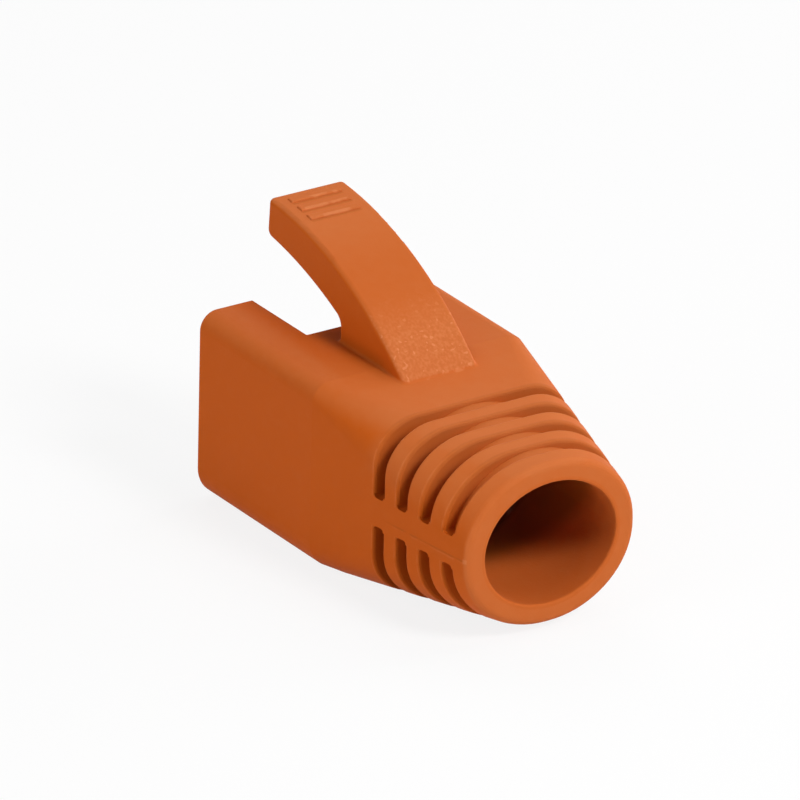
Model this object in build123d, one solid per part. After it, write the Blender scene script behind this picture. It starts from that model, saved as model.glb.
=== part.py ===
"""Strain relief boot for an eight-way modular plug, moulded in one piece.

The boot lies along X. The plug pushes in at x = 0 and the cable leaves at the
tail, towards +X. Y is across the boot and Z is up, with the base at z = 0.
"""
import math
import os

from build123d import *

# Plug pocket: the cable end of the plug and the clearance it slides in with
plug_width = 11.7
plug_height = 8.5
plug_clearance = 0.2
pocket_width = plug_width + plug_clearance
pocket_height = plug_height + plug_clearance
pocket_depth = 10.0
pocket_corner_radius = 0.5

# Body: a straight box sleeve around the pocket, with rounded long edges
side_wall = 1.05
floor_wall = 1.3
roof_wall = 1.3
body_width = pocket_width + 2 * side_wall
body_height = floor_wall + pocket_height + roof_wall
body_top_radius = 1.1
body_base_radius = 1.85
shoulder_x = 11.4
mouth_rim_radius = 0.12
mouth_rim_steps = 2

# Cable hole through the tail, and the wall between the first groove and the funnel that leads to the hole
hole_width = 8.6
hole_height = 7.2
hole_axis_z = 5.35
hole_rim_radius = 0.12
hole_rim_steps = 2
funnel_end_wall = 0.78

# Tail: the sleeve narrows from the shoulder to an oval end around the cable hole. The underside stays flat
# for a share of the way from the shoulder to the first groove, so that a loose boot rests level.
boot_length = 24.6
base_overrun = 0.3
end_wall_side = 1.25
end_wall_top = 1.2
end_width = hole_width + 2 * end_wall_side
end_height = hole_height + 2 * end_wall_top
end_flat = 0.15
end_rim_radius = 0.35
end_rim_steps = 4
collar_length = 1.28

# Notch in the roof, open at the plug end, for the plug's latch
notch_width = 7.15
notch_length = 5.6
notch_corner_radius = 0.1

# Latch lever: a crown arc and an under arc that peak behind the plug end, closed by a tip and a root.
# The rises are the heights of their peaks above the top of the body.
lever_width = 4.96
lever_crown_radius = 21.87
lever_crown_x = -1.52
lever_crown_rise = 5.94
lever_under_radius = 23.88
lever_under_x = -3.73
lever_under_rise = 3.86
lever_tip_x = -0.12
lever_tip_lean = 0.15
lever_tip_top_radius = 0.25
lever_tip_under_radius = 0.5
lever_root_x = 7.15
lever_root_radius = 0.7
lever_root_depth = 0.6
lever_edge_radius = 0.3
lever_foot_radius = 0.2

# Grip bars across the lever, stepped about the centre of its crown arc
bar_count = 3
bar_first_angle = 6.1
bar_pitch_angle = 2.52
bar_width = 0.5
bar_height = 0.1
bar_length = 3.3
bar_edge_radius = 0.09

# Flex grooves around the tail, between ribs, stopped by a bridge on each side, where their corners are round
groove_count = 4
groove_pitch = 1.92
groove_width = 0.78
groove_depth_top = 0.2
groove_depth_side_first = 1.05
groove_depth_side_last = 0.55
groove_edge_radius = 0.15
groove_edge_steps = 2
bridge_height = 1.7
bridge_z = 5.7
bridge_overlap = 0.3
groove_end_radius = 0.2

cut_margin = 2.0
place_tolerance = 0.01


def across(x):
    """A plane across the boot, with its own x along Y and its own y along Z."""
    return Plane(origin=(x, 0, 0), x_dir=(0, 1, 0), z_dir=(1, 0, 0))


def quarter_arc(centre, reach, rise, quarter):
    """A quarter of a circle or an ellipse about its centre; quarter 0 starts level, towards +Y."""
    if reach == rise:
        return CenterArc(centre, reach, 90 * quarter, 90)
    return EllipticalCenterArc(centre, reach, rise, 90 * quarter, arc_size=90)


def outline(width, low, high, low_corner, high_corner):
    """A box with rounded corners; its lower and its upper corners are each given as a reach and a rise."""
    corners = ((1, 1, high_corner), (-1, 1, high_corner), (-1, -1, low_corner), (1, -1, low_corner))
    arcs = []
    for quarter, (side, end, (reach, rise)) in enumerate(corners):
        z = high - rise if end > 0 else low + rise
        arcs.append(quarter_arc((side * (width / 2 - reach), z), reach, rise, quarter))
    edges = []
    for before, arc in zip(arcs[-1:] + arcs[:-1], arcs):
        edges += [Line(before @ 1, arc @ 0), arc]
    return edges


def between(start, end, share):
    """The value at a share of the way from start to end."""
    return start + share * (end - start)


def groove_ends():
    """The x where the first groove starts and the x where the last one ends."""
    last_wall = boot_length - collar_length
    return last_wall - groove_pitch * (groove_count - 1) - groove_width, last_wall


def base_end():
    """The x where the flat base ends."""
    first_wall, _ = groove_ends()
    return between(shoulder_x, first_wall, base_overrun)


def tail_outline(x, inset=0.0):
    """The tail's outline at x, drawn in by the inset: the body's at the shoulder, an oval at the end."""
    share = (x - shoulder_x) / (boot_length - shoulder_x)
    climb = max(0, x - base_end()) / (boot_length - base_end())
    width = between(body_width, end_width, share)
    low = between(0, hole_axis_z - end_height / 2, climb)
    high = between(body_height, hole_axis_z + end_height / 2, share)
    end_corner = ((end_width - end_flat) / 2, (end_height - end_flat) / 2)
    low_corner = [between(body_base_radius, size, share) - inset for size in end_corner]
    high_corner = [between(body_top_radius, size, share) - inset for size in end_corner]
    return outline(width - 2 * inset, low + inset, high - inset, low_corner, high_corner)


def face_at(x, edges):
    """The outline as a face that stands across the boot at x."""
    return across(x) * make_face(edges)


def tail_stretch(stations):
    """The tail between stations, each an x and how far its outline is drawn in there."""
    return loft([face_at(x, tail_outline(x, inset)) for x, inset in stations], ruled=True)


def eased_rim(x, into, radius, steps):
    """Stations that round a rim off, from its face at x into the piece, towards +X or -X, in order of x."""
    stations = []
    for step in range(steps + 1):
        angle = math.radians(90 * step / steps)
        stations.append((x + into * radius * (1 - math.cos(angle)), radius * (1 - math.sin(angle))))
    return stations[::into]


def groove_rim(x, into):
    """Stations for the rim of a groove wall at x."""
    return eased_rim(x, into, groove_edge_radius, groove_edge_steps)


def tail_core(first_x, last_x):
    """The oval core that stands between the ribs, in the floors of the grooves."""
    ovals = []
    for x, side_depth in ((first_x, groove_depth_side_first), (last_x, groove_depth_side_last)):
        box = face_at(x, tail_outline(x)).bounding_box()
        oval = Ellipse(box.size.Y / 2 - side_depth, box.size.Z / 2 - groove_depth_top)
        ovals.append(across(x) * (Pos(0, box.center().Z) * oval))
    return loft(ovals, ruled=True)


def bridge_band(first_x, last_x):
    """A band across the boot at the height of the bridges, less the round-cornered ends of the grooves."""
    first_wall, _ = groove_ends()
    height = bridge_height + 2 * groove_end_radius
    side_view = Pos((first_x + last_x) / 2, bridge_z) * Rectangle(last_x - first_x, height)
    end = RectangleRounded(groove_width, height, groove_end_radius)
    for step in range(groove_count):
        middle = first_wall + groove_width / 2 + step * groove_pitch
        for side in (-1, 1):
            side_view -= Pos(middle, bridge_z + side * (bridge_height + height) / 2) * end
    return extrude(Plane.XZ * side_view, body_width, both=True)


def tail():
    """The tail, still solid: a core, ribs around it, a collar at its end and a bridge along each side."""
    first_wall, last_wall = groove_ends()
    pieces = [tail_stretch([(shoulder_x, 0), (base_end(), 0)] + groove_rim(first_wall, -1))]
    for step in range(1, groove_count):
        rear = first_wall + step * groove_pitch
        front = rear - groove_pitch + groove_width
        pieces.append(tail_stretch(groove_rim(front, 1) + groove_rim(rear, -1)))
    end_rim = eased_rim(boot_length, -1, end_rim_radius, end_rim_steps)
    pieces.append(tail_stretch(groove_rim(last_wall, 1) + end_rim))

    first_x, last_x = first_wall - bridge_overlap, last_wall + bridge_overlap
    pieces.append(tail_stretch([(first_x, 0), (last_x, 0)]) & bridge_band(first_x, last_x))
    whole = tail_core(first_x, last_x)
    for piece in pieces:
        whole += piece
    return whole


def body():
    """The straight body, still solid, with its plug-end rim rounded off."""
    stations = eased_rim(0, 1, mouth_rim_radius, mouth_rim_steps) + [(shoulder_x, 0)]
    return loft([face_at(x, tail_outline(shoulder_x, inset)) for x, inset in stations], ruled=True)


def cable_hole(stations):
    """The oval cable hole between stations, each an x and how far its oval is let out there."""
    ovals = []
    for x, spread in stations:
        oval = Ellipse(hole_width / 2 + spread, hole_height / 2 + spread)
        ovals.append(across(x) * (Pos(0, hole_axis_z) * oval))
    return loft(ovals, ruled=True)


def inside():
    """The hollow: plug pocket, square funnel and cable hole in one."""
    corner = (pocket_corner_radius, pocket_corner_radius)
    section = outline(pocket_width, floor_wall, floor_wall + pocket_height, corner, corner)
    hole_low, hole_high = hole_axis_z - hole_height / 2, hole_axis_z + hole_height / 2
    around_hole = outline(hole_width, hole_low, hole_high, corner, corner)
    pocket = extrude(face_at(-cut_margin, section), pocket_depth + cut_margin, dir=(1, 0, 0))
    first_groove, _ = groove_ends()
    funnel_end = face_at(first_groove - funnel_end_wall, around_hole)
    funnel = loft([face_at(pocket_depth, section), funnel_end], ruled=True)
    hole_rim = eased_rim(boot_length, -1, hole_rim_radius, hole_rim_steps)
    return pocket + funnel + cable_hole([(pocket_depth, 0)] + hole_rim)


def latch_notch():
    """The cutter for the notch in the roof, with rounded inner corners."""
    middle = Pos((notch_length - cut_margin) / 2, 0, body_height - roof_wall / 2)
    cutter = middle * Box(notch_length + cut_margin, notch_width, roof_wall + 2 * cut_margin)
    inner = cutter.edges().filter_by(Axis.Z).group_by(Axis.X)[-1]
    return fillet(inner, notch_corner_radius)


def hollow_sleeve():
    """The sleeve with its hollow and notch cut."""
    return body() + tail() - inside() - latch_notch()


def arc_height(x, radius, peak_x, rise):
    """The height at x of an arc that peaks at peak_x, at a rise above the top of the body."""
    return body_height + rise - radius + math.sqrt(radius ** 2 - (x - peak_x) ** 2)


def crown(x):
    """The height of the lever's crown at x."""
    return arc_height(x, lever_crown_radius, lever_crown_x, lever_crown_rise)


def under(x):
    """The height of the lever's underside at x."""
    return arc_height(x, lever_under_radius, lever_under_x, lever_under_rise)


def crown_centre():
    """The x and z of the centre of the crown arc."""
    return lever_crown_x, body_height + lever_crown_rise - lever_crown_radius


def lever_profile():
    """The lever seen from the side, in the XZ plane, from its tip to inside the roof."""
    base_z = body_height - lever_root_depth
    centre_x, centre_z = crown_centre()
    foot_x = centre_x + math.sqrt(lever_crown_radius ** 2 - (base_z - centre_z) ** 2)
    chin_x = lever_tip_x - lever_tip_lean
    crown_middle = (lever_tip_x + foot_x) / 2
    under_middle = (chin_x + lever_root_x) / 2
    tip = (lever_tip_x, crown(lever_tip_x))
    chin = (chin_x, under(chin_x))
    root = (lever_root_x, under(lever_root_x))
    edges = [
        ThreePointArc(tip, (crown_middle, crown(crown_middle)), (foot_x, base_z)),
        Line((foot_x, base_z), (lever_root_x, base_z)),
        Line((lever_root_x, base_z), root),
        ThreePointArc(root, (under_middle, under(under_middle)), chin),
        Line(chin, tip),
    ]
    profile = make_face(edges)
    rounding = ((tip, lever_tip_top_radius), (chin, lever_tip_under_radius), (root, lever_root_radius))
    for (x, z), radius in rounding:
        nearest = profile.vertices().sort_by_distance((x, z, 0))[0]
        profile = fillet(nearest, radius)
    return Plane.XZ * profile


def lever():
    """The lever: its side profile given its width, with soft long edges."""
    solid = extrude(lever_profile(), lever_width / 2, both=True)
    base_z = body_height - lever_root_depth
    sides = solid.faces().sort_by(Axis.Y)
    rims = sides[0].edges() + sides[-1].edges()
    above = rims.filter_by(lambda edge: edge.center().Z > base_z + place_tolerance)
    return fillet(above, lever_edge_radius)


def with_lever(shell):
    """The shell with the lever grown out of its top, and a small fillet around the lever's foot."""
    arm = lever()
    joined = shell + arm
    return fillet(new_edges(shell, arm, combined=joined), lever_foot_radius)


def grip_bars():
    """Low bars across the lever, turned about the centre of the crown arc."""
    bar = Box(bar_width, bar_length, 2 * bar_height)
    bar = fillet(bar.faces().sort_by(Axis.Z)[-1].edges(), bar_edge_radius)
    bar = Pos(0, 0, lever_crown_radius) * bar
    centre_x, centre_z = crown_centre()
    centre = Pos(centre_x, 0, centre_z)
    return [centre * Rot(0, bar_first_angle + step * bar_pitch_angle, 0) * bar for step in range(bar_count)]


def main():
    os.makedirs("parts", exist_ok=True)
    boot = with_lever(hollow_sleeve())
    for bar in grip_bars():
        boot += bar
    export_step(boot, "parts/boot.step")


main()
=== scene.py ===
import math
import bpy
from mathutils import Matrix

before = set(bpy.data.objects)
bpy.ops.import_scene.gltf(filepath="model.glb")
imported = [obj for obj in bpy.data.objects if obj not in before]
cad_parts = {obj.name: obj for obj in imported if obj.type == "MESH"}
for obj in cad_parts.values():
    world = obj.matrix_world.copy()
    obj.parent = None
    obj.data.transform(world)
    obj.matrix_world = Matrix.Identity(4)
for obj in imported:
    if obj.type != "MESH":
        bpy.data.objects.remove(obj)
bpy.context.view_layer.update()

from types import SimpleNamespace

import bpy
from mathutils import Matrix, Vector

print("stage: frame loaded")


class Wire:
    # wraps one socket of a node tree, so that shader maths reads as plain expressions
    def __init__(self, tree, socket=None):
        self.tree = tree
        self.socket = socket

    def node(self, kind, settings=None, sockets=None, out=0):
        made = self.tree.nodes.new(kind)
        for name, value in (settings or {}).items():
            setattr(made, name, value)
        for name, value in (sockets or {}).items():
            if isinstance(value, Wire):
                self.tree.links.new(value.socket, made.inputs[name])
            else:
                made.inputs[name].default_value = value
        return Wire(self.tree, None if out is None else made.outputs[out])

    def maths(self, operation, *values):
        return self.node("ShaderNodeMath", {"operation": operation}, dict(enumerate(values)))

    def __add__(self, other):
        return self.maths("ADD", self, other)

    def __radd__(self, other):
        return self.maths("ADD", other, self)

    def __sub__(self, other):
        return self.maths("SUBTRACT", self, other)

    def __rsub__(self, other):
        return self.maths("SUBTRACT", other, self)

    def __mul__(self, other):
        return self.maths("MULTIPLY", self, other)

    def __rmul__(self, other):
        return self.maths("MULTIPLY", other, self)

    def __abs__(self):
        return self.maths("ABSOLUTE", self)

    def atLeast(self, other):
        return self.maths("MAXIMUM", self, other)

    def rise(self, start, full):
        # 0 below start, 1 above full, with a soft step between
        limits = {"From Min": start, "From Max": full, "Value": self}
        return self.node("ShaderNodeMapRange", {"interpolation_type": "SMOOTHSTEP"}, limits)

    def fall(self, ebb, end):
        # 1 below ebb, 0 above end
        return 1 - self.rise(ebb, end)

    def band(self, start, full, ebb, end):
        # 1 from full to ebb, 0 below start and above end
        return self.rise(start, full) * self.fall(ebb, end)

    def mixValues(self, first, second):
        return self.node("ShaderNodeMix", {"data_type": "FLOAT"}, {0: self, 2: first, 3: second})

    def mix(self, first, second):
        # sockets 6 and 7 and output 2 of a Mix node are its colours
        return self.node("ShaderNodeMix", {"data_type": "RGBA"}, {0: self, 6: first, 7: second}, out=2)


def newTree(owner):
    owner.use_nodes = True
    owner.node_tree.nodes.clear()
    return Wire(owner.node_tree)


# the photograph's camera: angles in degrees, its place in metres along its own right, up and
# back, lens and sensor in millimetres
camera = {
    "azimuth": 55.763,
    "elevation": 24.369,
    "roll": 1.312,
    "right": 0.00552,
    "up": 0.003961,
    "back": 0.8,
    "lens": 643.47,
    "sensor": 36.0,
}


def makeCamera():
    turn, climb, roll = (math.radians(camera[key]) for key in ("azimuth", "elevation", "roll"))
    level = Vector((math.cos(turn), math.sin(turn), 0))
    ahead = Vector((math.sin(turn), -math.cos(turn), 0))
    back = math.cos(climb) * ahead + math.sin(climb) * Vector((0, 0, 1))
    upright = back.cross(level)
    right = math.cos(roll) * level + math.sin(roll) * upright
    up = math.cos(roll) * upright - math.sin(roll) * level
    spot = camera["right"] * right + camera["up"] * up + camera["back"] * back
    bpy.ops.object.camera_add()
    made = bpy.context.object
    made.name = "photoCamera"
    made.matrix_world = Matrix.Translation(spot) @ Matrix((right, up, back)).transposed().to_4x4()
    made.data.lens = camera["lens"]
    made.data.sensor_width = camera["sensor"]
    bpy.context.scene.camera = made


# soft round lamps, all as far from the boot: the way each lies from it, how wide it is, and its
# strength. A colour that faces a lamp of strength 1 renders as it is written
lighting = {
    "far": 0.35,
    "aim": (0.012, 0, 0.007),
    "lamps": {
        "key": {"way": (0.68, 0.15, 0.70), "wide": 0.10, "strength": 0.50},
        "plug": {"way": (-0.60, 0.20, 0.75), "wide": 0.25, "strength": 0.25},
        "back": {"way": (0.00, 0.95, 0.30), "wide": 0.25, "strength": 0.34},
        "side": {"way": (0.00, -1.00, 0.06), "wide": 0.25, "strength": 0.52},
        "tail": {"way": (0.80, 0.30, 0.60), "wide": 0.14, "strength": 0.30},
        "front": {"way": (0.00, -0.70, 0.70), "wide": 0.25, "strength": 0.14},
        "top": {"way": (0.00, 0.60, 0.80), "wide": 0.25, "strength": 0.16},
    },
}


def makeLamps():
    far, aim = lighting["far"], Vector(lighting["aim"])
    for name, lamp in lighting["lamps"].items():
        way = Vector(lamp["way"]).normalized()
        bpy.ops.object.light_add(type="AREA", location=aim + way * far)
        made = bpy.context.object
        made.name = name + "Lamp"
        made.rotation_euler = way.to_track_quat("Z", "Y").to_euler()
        made.data.shape = "DISK"
        made.data.size = lamp["wide"]
        made.data.energy = lamp["strength"] * (math.pi * far) ** 2


studio = {
    "fill": 0.03,  # light of the surrounding air on the boot
    "white": (1, 1, 1, 1),
    "floorWide": 6.0,
    "floorColour": (0.86, 0.86, 0.86, 1),
    "floorWhite": 0.85,  # share of plain white that the floor shows
}


def seenByEye(wires):
    # 1 for what the camera sees directly, in a reflection or through glass
    direct = wires.node("ShaderNodeLightPath", out="Is Camera Ray")
    rays = direct.socket.node.outputs
    shiny, through = (Wire(wires.tree, rays[ray]) for ray in ("Is Glossy Ray", "Is Transmission Ray"))
    return direct.atLeast(shiny).atLeast(through)


def makeStudio():
    air = bpy.data.worlds.new("studioAir")
    bpy.context.scene.world = air
    wires = newTree(air)
    plainWhite = {"Color": studio["white"], "Strength": 1.0}
    light = wires.node("ShaderNodeBackground", None, {**plainWhite, "Strength": studio["fill"]})
    white = wires.node("ShaderNodeBackground", None, plainWhite)
    both = wires.node("ShaderNodeMixShader", None, {0: seenByEye(wires), 1: light, 2: white})
    wires.node("ShaderNodeOutputWorld", None, {"Surface": both}, out=None)

    bpy.ops.mesh.primitive_plane_add(size=studio["floorWide"])
    floor = bpy.context.object
    floor.name = "floor"
    paint = bpy.data.materials.new("floorPaint")
    wires = newTree(paint)
    matt = wires.node("ShaderNodeBsdfDiffuse", None, {"Color": studio["floorColour"]})
    glow = wires.node("ShaderNodeEmission", None, plainWhite)
    share = seenByEye(wires) * studio["floorWhite"]
    shown = wires.node("ShaderNodeMixShader", None, {0: share, 1: matt, 2: glow})
    wires.node("ShaderNodeOutputMaterial", None, {"Surface": shown}, out=None)
    floor.data.materials.append(paint)


# The moulded plastic: a matt orange skin with a fine grain, with painted sheen that makes it paler on
# the lever's face, on the roof towards the cable end and on the ribs and the end face, and painted
# shade that makes it darker deep inside.
# Lengths are in millimetres, x from the plug end to the cable end, y across and z up. Two
# numbers are where a mask starts and where it is full, or for a mask that fades out, where it
# ebbs and where it ends. Four are all of a band's. A share is how much of a colour goes on.
moulding = {
    "colours": {
        "deep": (0.530, 0.095, 0.0065, 1),
        # pale: the colour of the painted sheen
        "pale": (0.550, 0.142, 0.036, 1),
        # dustAndGlint: pale grains and marks, and the painted glints and highlights on the sand, bars, rib
        # edges and lever foot
        "dustAndGlint": (0.680, 0.240, 0.095, 1),
        "shade": (0.285, 0.060, 0.004, 1),
        # insideShade: the colour of the painted shade deep inside
        "insideShade": (0.240, 0.060, 0.004, 1),
    },
    "patterns": {  # each noise's scale and detail
        "clouds": (0.35, 2.0),
        "mottle": (1.6, 2.0),
        "sand": (5.5, 1.0),
        "grain": (8.0, 2.0),
        "glints": (3.6, 0.0),
        "wear": (1.3, 1.0),
        "specks": (2.4, 1.0),
    },
    "noiseMiddle": 0.5,
    "finish": {
        "roughness": 0.60,
        "grainRoughness": 0.12,
        "cloudRoughness": 0.08,
        "gloss": 0.06,
        "grainHeight": 0.000006,  # in metres
        "sandHeight": 1.2,  # this and the next in grain heights
        "partingDepth": 1.5,
    },
    "roof": {"height": 11.3, "slope": 0.087, "shoulder": 11.4},
    "bore": {"axis": 5.35, "halfWide": 4.55, "halfHigh": 3.85, "edge": (0.98, 1.02)},
    "lever": {
        "halfWide": 2.48,
        "softEdge": 0.10,
        "overRoof": (0.03, 0.15),
        "crownCentre": (-1.52, -4.63),  # x and z of the crown's arc
        "crownRadius": (21.55, 21.80),
        "lowEnd": (12.6, 14.6),
        "highEnd": (15.2, 17.0),
    },
    # painted sheen: how much paler each part is drawn, most where the lamps light it, then random clouds and
    # mottles
    "sheenAndMottle": {
        "topHeight": (-1.2, -0.2),  # heights here and below are over the roof
        "topAlong": (4.0, 20.0),
        "topFarShare": 0.8,
        "topFarSide": (0.5, 3.5),
        "edgeShare": 0.55,
        "edgeHeight": (-1.1, -0.2),
        "edgeAcross": (4.0, 5.4),
        "ribsShare": 0.75,
        "ribsAlong": (15.5, 17.5),
        "ribsHeight": (-4.0, -1.0),
        "endShare": 0.75,
        "endAlong": (24.15, 24.45),
        "leverShare": 0.55,
        "leverLowShare": 0.45,
        "leverHighShare": 0.35,
        "boreShare": 0.5,
        "evenShare": 0.85,
        "cloudShare": 0.3,
        "mottleShare": 0.3,
    },
    # painted shadow on the roof beside the lever's foot
    "corner": {
        "share": 0.48,
        "across": 1.3,
        "along": (5.4, 6.4, 11.0, 13.2),
        "height": (-0.4, -0.1, 0.0, 1.0),
    },
    "sand": {
        "dustShare": 0.24,
        "dustGrains": (0.42, 0.70),
        "shadeShare": 0.08,
        "shadeGrains": (0.30, 0.50),
        "glintShare": 0.55,
        "glints": (0.70, 0.75),
        # painted shade on the middle of the lever's face
        "middleShare": 0.10,
    },
    "bars": {
        "angle": 6.1,  # degrees about the crown's centre
        "pitch": 2.52,
        "offset": 0.5,
        "count": (0.0, 0.05, 2.98, 3.0),
        "across": (1.6, 1.7),
        # a painted highlight along the bars' lower edges, and painted shade beneath them
        "edgeHighlightShare": 0.45,
        "edgeHighlight": (0.50, 0.58, 0.74, 0.78),  # in shares of a pitch
        "edgeHighlightPatches": (0.42, 0.58),
        "underShare": 0.30,
        "under": (0.76, 0.80, 0.84, 1.0),
    },
    "grooves": {
        "start": 16.78,
        "pitch": 1.92,
        "offset": 0.25,
        "count": (0.0, 0.02, 3.74, 3.76),
        "bridgeHeight": 5.7,
        "bridgeHalf": (0.85, 0.90),
        # painted shade on the rims, walls and top rims, and a painted highlight on the brow
        "rimShare": 0.30,
        "rim": (0.18, 0.21, 0.25, 0.29),  # in shares of a pitch, as the next ones are
        "wallShare": 0.18,
        "wall": (0.21, 0.26, 0.63, 0.66),
        "topRimShare": 0.24,
        "topRim": (0.08, 0.16, 0.25, 0.29),
        "topRimHeight": (-1.2, -0.3),
        "browShare": 0.18,
        "brow": (0.13, 0.16, 0.17, 0.20),
        "browPatches": (0.30, 0.60),
        "browHeight": (-1.5, -0.5),
        "farRim": (0.65, 0.68, 0.71, 0.75),
    },
    "edgeGlints": {
        # painted glints along the lever's foot and the grooves' far rims
        "share": 0.35,
        "grains": (0.60, 0.72),
        "leverFoot": 13.6,
        "footAlong": (0.06, 0.16),
        "footHeight": (0.1, 0.3),
        "footAcross": (2.1, 2.3),
        "farRimShare": 0.7,
    },
    "parting": {
        "height": 5.45,
        "waver": 0.10,
        "along": (17.0, 19.5, 24.2, 24.4),
        "line": (0.02, 0.09),
        "darkShare": 0.34,
        "darkPatches": (0.25, 0.60),
        "paleShare": 0.15,
        "palePatches": (0.35, 0.65),
        "paleBelow": 0.12,
        "speckShare": 0.35,
        "speckAlong": 24.36,
        "speck": (0.08, 0.16),
    },
    "deepInside": {
        # masks of the painted shade in the funnel and the hole, and of the painted shadow on the hole's roof
        "funnelAcross": (5.97, 6.05),
        "funnelHeight": (1.1, 1.25, 10.05, 10.2),
        "funnelAlong": (10.0, 12.5, 14.6, 15.4),
        "holeStart": (10.0, 12.5),
        "holeDeepEnd": (15.8, 17.6),
        "holeRoofShare": 0.75,
        "holeRoofLean": 0.92,
        "holeRoofAlong": 16.6,
        "holeRoofEdge": (-1.0, 0.8),
        "holeRoofEnd": (23.0, 24.0),
    },
}


def findPlaces(wires):
    # what the paints share: the point in millimetres, the noises and the masks of the boot's parts
    spot = wires.node("ShaderNodeTexCoord", out="Object")
    inMm = wires.node("ShaderNodeVectorMath", {"operation": "SCALE"}, {0: spot, "Scale": 1000.0})
    x, y, z = (wires.node("ShaderNodeSeparateXYZ", None, {0: inMm}, out=axis) for axis in range(3))
    at = SimpleNamespace(x=x, y=y, z=z, side=abs(y))
    for name, (scale, detail) in moulding["patterns"].items():
        sockets = {"Vector": inMm, "Scale": scale, "Detail": detail}
        setattr(at, name, wires.node("ShaderNodeTexNoise", None, sockets))

    roof, bore, lever = (moulding[name] for name in ("roof", "bore", "lever"))
    at.overRoof = z + roof["slope"] * (x - roof["shoulder"]).atLeast(0.0) - roof["height"]
    across, above = y * (1 / bore["halfWide"]), (z - bore["axis"]) * (1 / bore["halfHigh"])
    at.inBore = (across * across + above * above).fall(*bore["edge"])
    at.acrossArc, at.overArc = x - lever["crownCentre"][0], z - lever["crownCentre"][1]
    fromCentre = wires.maths("SQRT", at.acrossArc * at.acrossArc + at.overArc * at.overArc)
    at.onLever = at.overRoof.rise(*lever["overRoof"])
    betweenSides = at.side.fall(lever["halfWide"] - lever["softEdge"], lever["halfWide"])
    at.leverFace = at.onLever * fromCentre.rise(*lever["crownRadius"]) * betweenSides
    at.low, at.high = z.fall(*lever["lowEnd"]), z.rise(*lever["highEnd"])
    return at


def paint(colour, share, name):
    return share.mix(colour, moulding["colours"][name])


def paintSkin(at):
    # deep orange, and how pale it is: painted sheen part by part, most on the faces the lamps light, then
    # random tone in clouds and mottles
    sheenAndMottle = moulding["sheenAndMottle"]
    farSide = sheenAndMottle["topFarShare"] * at.y.rise(*sheenAndMottle["topFarSide"])
    top = at.overRoof.rise(*sheenAndMottle["topHeight"]) * at.x.rise(*sheenAndMottle["topAlong"]).atLeast(farSide)
    edge = at.overRoof.rise(*sheenAndMottle["edgeHeight"]) * at.side.rise(*sheenAndMottle["edgeAcross"])
    ribs = at.x.rise(*sheenAndMottle["ribsAlong"]) * at.overRoof.rise(*sheenAndMottle["ribsHeight"])
    end = at.x.rise(*sheenAndMottle["endAlong"])
    paleness = top.atLeast(sheenAndMottle["edgeShare"] * edge)
    paleness = paleness.atLeast(sheenAndMottle["ribsShare"] * ribs).atLeast(sheenAndMottle["endShare"] * end)
    lever = sheenAndMottle["leverShare"] + sheenAndMottle["leverLowShare"] * at.low + sheenAndMottle["leverHighShare"] * at.high
    paleness = at.onLever.mixValues(paleness, at.leverFace * lever)
    paleness = at.inBore.mixValues(paleness, sheenAndMottle["boreShare"])
    paleness = paleness * (sheenAndMottle["evenShare"] + sheenAndMottle["cloudShare"] * at.clouds)
    paleness = paleness + sheenAndMottle["mottleShare"] * (at.mottle - moulding["noiseMiddle"])
    return paleness.mix(moulding["colours"]["deep"], moulding["colours"]["pale"])


def paintCorner(at, colour):
    # the shaded corner along each side of the lever's foot
    corner, half = moulding["corner"], moulding["lever"]["halfWide"]
    beside = at.side.fall(half, half + corner["across"])
    shaded = beside * at.x.band(*corner["along"]) * at.overRoof.band(*corner["height"])
    return paint(colour, corner["share"] * shaded, "shade")


def paintSand(at, colour):
    # sand on the lower half of the lever's face, with painted glints as a few bright grains, and painted
    # shade on the middle
    sand = moulding["sand"]
    at.sandy = at.leverFace * at.low
    dusty = at.sandy * at.sand.rise(*sand["dustGrains"])
    shaded = at.sandy * at.sand.fall(*sand["shadeGrains"])
    glints = at.sandy * at.glints.rise(*sand["glints"])
    middle = at.leverFace * (1 - at.low) * (1 - at.high)
    colour = paint(colour, sand["dustShare"] * dusty, "dustAndGlint")
    colour = paint(colour, sand["shadeShare"] * shaded, "shade")
    colour = paint(colour, sand["glintShare"] * glints, "dustAndGlint")
    return paint(colour, sand["middleShare"] * middle, "shade")


def paintBars(at, colour):
    # the grip bars: a painted highlight in patches along their lower edges, with painted shade beneath
    bars = moulding["bars"]
    angle = at.x.maths("ARCTAN2", at.acrossArc, at.overArc) * math.degrees(1)
    counted = (angle - bars["angle"]) * (1 / bars["pitch"]) + bars["offset"]
    phase = counted.maths("FRACT", counted)
    onBars = counted.band(*bars["count"]) * at.side.fall(*bars["across"]) * at.leverFace
    edgeHighlight = onBars * phase.band(*bars["edgeHighlight"]) * at.wear.rise(*bars["edgeHighlightPatches"])
    under = onBars * phase.band(*bars["under"])
    colour = paint(colour, bars["edgeHighlightShare"] * edgeHighlight, "dustAndGlint")
    return paint(colour, bars["underShare"] * under, "shade")


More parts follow.
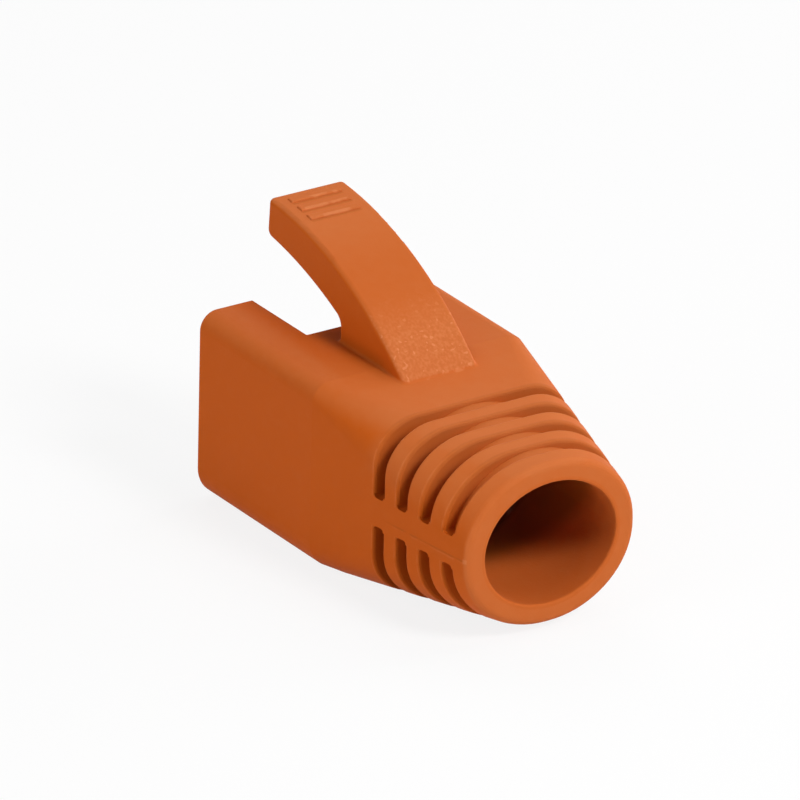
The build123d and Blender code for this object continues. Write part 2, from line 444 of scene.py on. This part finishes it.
def paintGrooves(at, colour):
    # painted shade on the grooves' rims and walls, and a broken painted highlight along each rib's near edge
    # below the top
    grooves = moulding["grooves"]
    counted = (at.x - grooves["start"]) * (1 / grooves["pitch"]) + grooves["offset"]
    phase = counted.maths("FRACT", counted)
    offBridge = abs(at.z - grooves["bridgeHeight"]).rise(*grooves["bridgeHalf"])
    inGrooves = counted.band(*grooves["count"]) * (1 - at.inBore) * offBridge
    rim, wall = phase.band(*grooves["rim"]), phase.band(*grooves["wall"])
    topRim = phase.band(*grooves["topRim"]) * at.overRoof.rise(*grooves["topRimHeight"])
    brow = phase.band(*grooves["brow"]) * at.mottle.rise(*grooves["browPatches"])
    brow = brow * at.overRoof.fall(*grooves["browHeight"])
    dark = (grooves["rimShare"] * rim).atLeast(grooves["wallShare"] * wall)
    dark = dark.atLeast(grooves["topRimShare"] * topRim)
    at.farRim = phase.band(*grooves["farRim"]) * inGrooves
    colour = paint(colour, inGrooves * dark, "shade")
    return paint(colour, grooves["browShare"] * inGrooves * brow, "dustAndGlint")


def paintEdgeGlints(at, colour):
    # painted glints: bright specks along the lever's foot and the far rims of the grooves
    edgeGlints = moulding["edgeGlints"]
    foot = abs(at.x - edgeGlints["leverFoot"]).fall(*edgeGlints["footAlong"])
    foot = foot * abs(at.overRoof).fall(*edgeGlints["footHeight"]) * at.side.fall(*edgeGlints["footAcross"])
    specks = at.specks.rise(*edgeGlints["grains"]) * foot.atLeast(edgeGlints["farRimShare"] * at.farRim)
    return paint(colour, edgeGlints["share"] * specks, "dustAndGlint")


def paintParting(at, colour):
    # the mould's parting line along each bridge: a dark hairline over a pale one, and an end speck
    parting = moulding["parting"]
    outside = 1 - at.inBore
    onBridge = at.x.band(*parting["along"]) * outside
    off = at.z - parting["height"] + parting["waver"] * (at.mottle - moulding["noiseMiddle"])
    dark = onBridge * abs(off).fall(*parting["line"])
    at.darkLine = dark * at.mottle.rise(*parting["darkPatches"])
    pale = onBridge * abs(off + parting["paleBelow"]).fall(*parting["line"])
    pale = pale * at.mottle.rise(*parting["palePatches"])
    speck = abs(at.x - parting["speckAlong"]).fall(*parting["speck"])
    speck = speck * abs(off).fall(*parting["speck"]) * outside
    colour = paint(colour, parting["darkShare"] * at.darkLine, "shade")
    colour = paint(colour, parting["paleShare"] * pale, "dustAndGlint")
    return paint(colour, parting["speckShare"] * speck, "dustAndGlint")


def paintInsideShade(at, colour):
    # painted shade in the funnel between the pocket and the cable hole and at the hole's deep end, and a
    # painted shadow on the hole's roof
    insideShade = moulding["deepInside"]
    funnel = at.side.fall(*insideShade["funnelAcross"]) * at.z.band(*insideShade["funnelHeight"])
    funnel = funnel * at.x.band(*insideShade["funnelAlong"])
    leaning = at.x - insideShade["holeRoofLean"] * at.z - insideShade["holeRoofAlong"]
    holeRoof = leaning.fall(*insideShade["holeRoofEdge"]) * at.x.fall(*insideShade["holeRoofEnd"])
    inHole = at.x.fall(*insideShade["holeDeepEnd"]).atLeast(insideShade["holeRoofShare"] * holeRoof)
    inHole = inHole * at.inBore * at.x.rise(*insideShade["holeStart"])
    return paint(colour, funnel.atLeast(inHole), "insideShade")


def makeMoulding():
    made = bpy.data.materials.new("mouldedOrange")
    wires = newTree(made)
    at = findPlaces(wires)
    colour = paintSkin(at)
    for addPaint in (paintCorner, paintSand, paintBars, paintGrooves, paintEdgeGlints, paintParting, paintInsideShade):
        colour = addPaint(at, colour)

    finish, middle = moulding["finish"], moulding["noiseMiddle"]
    roughness = finish["roughness"] + finish["grainRoughness"] * (at.grain - middle)
    roughness = roughness + finish["cloudRoughness"] * (at.clouds - middle)
    height = at.grain + finish["sandHeight"] * at.sandy * at.sand - finish["partingDepth"] * at.darkLine
    raised = {"Height": height, "Distance": finish["grainHeight"], "Strength": 1.0}
    skin = {
        "Base Color": colour,
        "Roughness": roughness,
        "Normal": wires.node("ShaderNodeBump", None, raised),
        "Specular IOR Level": finish["gloss"],
    }
    surface = wires.node("ShaderNodeBsdfPrincipled", None, skin)
    wires.node("ShaderNodeOutputMaterial", None, {"Surface": surface}, out=None)
    return made


bpy.context.scene.view_settings.view_transform = "Standard"
makeCamera()
makeLamps()
makeStudio()
print("stage: camera, lamps and floor made")

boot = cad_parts["boot"]
boot.data.materials.clear()
boot.data.materials.append(makeMoulding())
print("stage: moulding painted")
